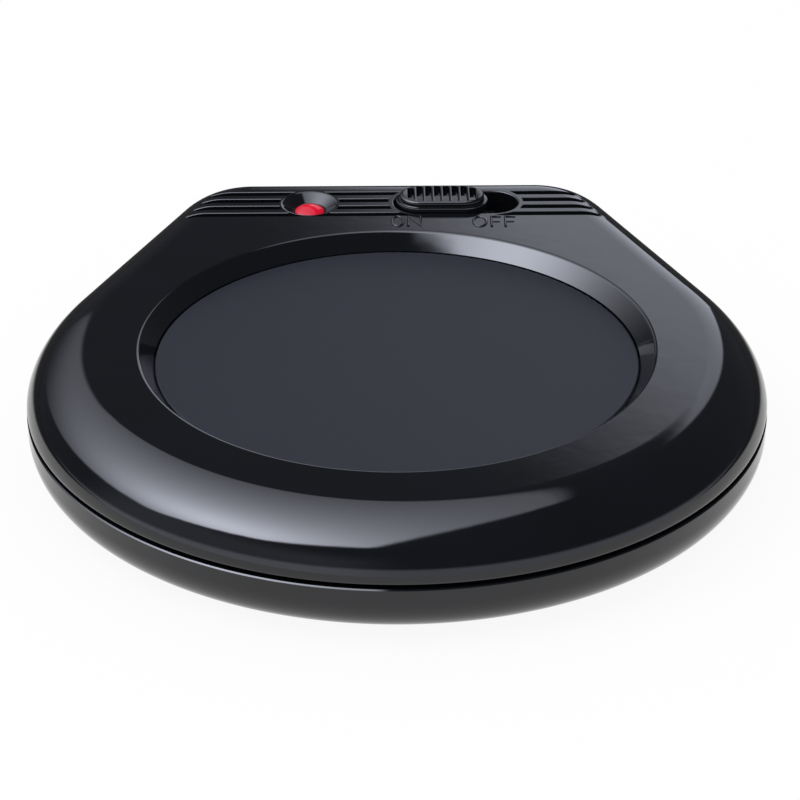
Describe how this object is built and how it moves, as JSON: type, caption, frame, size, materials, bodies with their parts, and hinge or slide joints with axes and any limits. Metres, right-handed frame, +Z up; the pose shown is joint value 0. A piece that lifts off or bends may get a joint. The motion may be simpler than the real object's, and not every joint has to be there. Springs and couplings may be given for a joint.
{
  "type": "electric mug warmer",
  "caption": "Low electric mug warmer: round warming plate in a black two-shell housing, with a slide switch and a red pilot lamp in a grooved bar at the back.",
  "frame": {"origin": "on the table, under the middle of the housing's bounding box", "axes": "+Z up, +Y towards the bar with the switch and the lamp, +X to the right when the bar is at the back"},
  "size_m": [0.12, 0.1284, 0.0216],
  "materials": {
    "cover_black": "polished black",
    "plate_coating": "fine matt dark coating on aluminium",
    "lens_red": "translucent red",
    "lamp_glass": "clear",
    "switch_plastic": "moulded",
    "mica": "layered sheet",
    "foil": "etched foil",
    "zinc_steel": "zinc plated",
    "shield_steel": "aluminised",
    "fibre": "ceramic fibre felt",
    "brass": "bright",
    "fuse_metal": "drawn",
    "sleeve": "woven glass sleeve",
    "board": "paper laminate",
    "resistor": "lacquered",
    "silicone": "moulded silicone",
    "black_rubber": "moulded",
    "gland_rubber": "moulded",
    "lead_insulation": "extruded"
  },
  "bodies": {
    "housing": {"base_cover": "cover_black", "clamp_nuts": "zinc_steel", "cord_gland": "gland_rubber", "fuse_clip": "zinc_steel", "fuse_sleeve": "sleeve", "heat_shield": "shield_steel", "heater_clamp_plate": "zinc_steel", "heater_element": "foil", "heater_tabs": "brass", "housing_screws": "zinc_steel", "insulation_pad": "fibre", "lamp_board": "board", "lamp_lens": "lens_red", "lamp_resistor": "resistor", "lead_heater": "lead_insulation", "lead_live": "lead_insulation", "lead_neutral": "lead_insulation", "lead_switched": "lead_insulation", "lens_retainer": "switch_plastic", "lower_mica_sheet": "mica", "neon_lamp": "lamp_glass", "plate_gasket": "silicone", "plate_retaining_ring": "zinc_steel", "retainer_screws": "zinc_steel", "rubber_foot_back_left": "black_rubber", "rubber_foot_back_right": "black_rubber", "rubber_foot_front_left": "black_rubber", "rubber_foot_front_right": "black_rubber", "shield_screws": "zinc_steel", "switch_case": "switch_plastic", "switch_screws": "zinc_steel", "switch_terminals": "brass", "terminal_block": "switch_plastic", "terminal_screws": "zinc_steel", "thermal_fuse": "fuse_metal", "top_cover": "cover_black", "upper_mica_sheet": "mica", "warming_plate": "plate_coating"},
    "slider": {"switch_knob": "cover_black", "switch_actuator": "switch_plastic", "switch_contact": "brass"}
  },
  "joints": [
    {"name": "switch_slide", "type": "slide", "parent": "housing", "child": "slider", "axis": [1, 0, 0], "range_m": [0, 0.005]}
  ]
}
